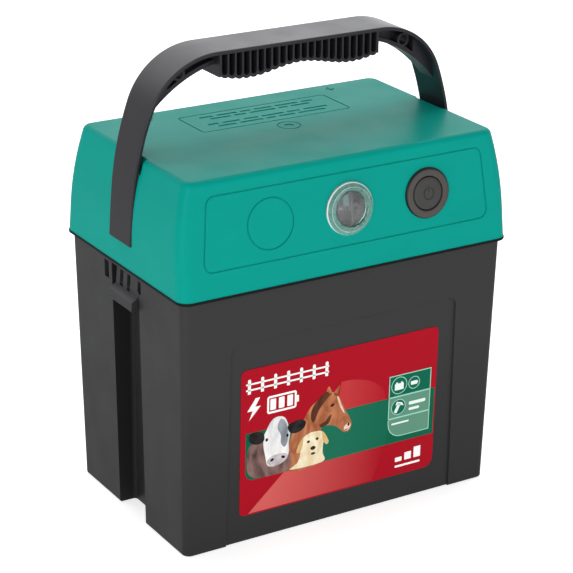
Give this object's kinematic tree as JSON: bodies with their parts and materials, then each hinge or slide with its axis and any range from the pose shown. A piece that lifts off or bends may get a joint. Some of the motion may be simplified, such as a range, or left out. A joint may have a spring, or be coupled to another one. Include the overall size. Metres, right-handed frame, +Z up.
{
  "type": "battery fence energizer",
  "caption": "Battery electric-fence energizer: charcoal battery housing, lift-off sea-green head with arched carry handle, indicator lens and push button.",
  "frame": {"origin": "centre of the battery housing's flat underside", "axes": "+X along the long side, -Y is the front with the button and label, +Z up"},
  "size_m": [0.2318, 0.1741, 0.293],
  "materials": {
    "housing_plastic": "satin moulded charcoal plastic",
    "latch_plastic": "satin moulded charcoal plastic",
    "lid_plastic": "satin moulded sea-green plastic",
    "handle_plastic": "satin moulded black plastic",
    "label_film": null,
    "lens_clear": "clear moulded plastic",
    "holder_plastic": "matt black plastic",
    "lamp_epoxy": "translucent epoxy",
    "button_rubber": "soft moulded rubber",
    "seal_rubber": "black seal rubber",
    "seal_silicone": "pale silicone seal",
    "zinc_steel": "zinc plated",
    "spring_steel": "drawn spring wire",
    "iron_core": "varnished stacked plates",
    "copper_wire": "enamelled copper",
    "ferrite": "sintered ferrite",
    "board": "solder-masked glass epoxy",
    "chip_epoxy": "black moulded epoxy",
    "can_sleeve": "shrink sleeve over aluminium",
    "resistor_lacquer": "lacquered body",
    "bobbin_plastic": "natural plastic",
    "capacitor_box": "yellow potted box",
    "knob_plastic": "moulded plastic",
    "earth_knob_plastic": "moulded plastic",
    "battery_plastic": "moulded battery case",
    "battery_lid_plastic": "moulded battery lid",
    "connector_plastic": "moulded connector",
    "lead_jacket": "cable jacket",
    "terminal_brass": "turned brass",
    "aluminium": "extruded"
  },
  "bodies": {
    "housing": {"battery_box": "housing_plastic", "front_label": "label_film", "battery_case": "battery_plastic", "battery_cover": "battery_lid_plastic", "battery_posts": "terminal_brass", "left_latch_pin": "zinc_steel", "right_latch_pin": "zinc_steel", "left_latch_spring": "spring_steel", "right_latch_spring": "spring_steel"},
    "head": {"lid_shell": "lid_plastic", "base_tray": "housing_plastic", "rim_seal": "seal_rubber", "tray_screws": "zinc_steel", "carry_handle": "handle_plastic", "indicator_lens": "lens_clear", "lens_seal": "seal_silicone", "lens_nut": "holder_plastic", "lamp_holder": "holder_plastic", "lamps": "lamp_epoxy", "button_bezel": "button_rubber", "button_spring": "spring_steel", "switch_body": "chip_epoxy", "circuit_board": "board", "board_screws": "zinc_steel", "control_chip": "chip_epoxy", "electrolytic_capacitors": "can_sleeve", "resistors": "resistor_lacquer", "heat_sink": "aluminium", "thyristor": "chip_epoxy", "converter_coil": "ferrite", "converter_winding": "copper_wire", "transformer_core": "iron_core", "transformer_bracket": "zinc_steel", "transformer_bobbin": "bobbin_plastic", "transformer_winding": "copper_wire", "storage_capacitor": "capacitor_box", "terminal_nuts": "zinc_steel", "lead_eyes": "zinc_steel", "terminal_leads": "lead_jacket", "battery_leads": "lead_jacket", "battery_connectors": "connector_plastic", "lead_grommet": "seal_rubber", "fence_stud": "zinc_steel", "earth_stud": "zinc_steel", "fence_washers": "zinc_steel", "earth_washers": "zinc_steel"},
    "left_latch": {"left_latch": "latch_plastic"},
    "right_latch": {"right_latch": "latch_plastic"},
    "button": {"button_cap": "button_rubber", "switch_plunger": "bobbin_plastic"},
    "fence_knob": {"fence_knob": "knob_plastic"},
    "earth_knob": {"earth_knob": "earth_knob_plastic"}
  },
  "joints": [
    {"name": "head_lift", "type": "slide", "parent": "housing", "child": "head", "axis": [0, 0, 1], "range_m": [0, 0.18]},
    {"name": "left_latch_press", "type": "hinge", "parent": "housing", "child": "left_latch", "pos_m": [-0.108, 0, 0.1505], "axis": [0, -1, 0], "range_deg": [0, 12], "stiffness_Nm_per_rad": 0.25, "springref_deg": -5.73, "deforming": ["left_latch_spring"]},
    {"name": "right_latch_press", "type": "hinge", "parent": "housing", "child": "right_latch", "pos_m": [0.108, 0, 0.1505], "axis": [0, 1, 0], "range_deg": [0, 12], "stiffness_Nm_per_rad": 0.25, "springref_deg": -5.73, "deforming": ["right_latch_spring"]},
    {"name": "button_press", "type": "slide", "parent": "head", "child": "button", "axis": [0, 0.9934, -0.1147], "range_m": [0, 0.0025], "stiffness_N_per_m": 900, "springref_m": -0.001, "deforming": ["button_spring"]},
    {"name": "fence_knob_turn", "type": "hinge", "parent": "head", "child": "fence_knob", "pos_m": [0.066, 0.0811, 0.20535], "axis": [0, 0.9934, 0.1147], "continuous": true},
    {"name": "earth_knob_turn", "type": "hinge", "parent": "head", "child": "earth_knob", "pos_m": [-0.066, 0.0811, 0.20535], "axis": [0, 0.9934, 0.1147], "continuous": true}
  ]
}
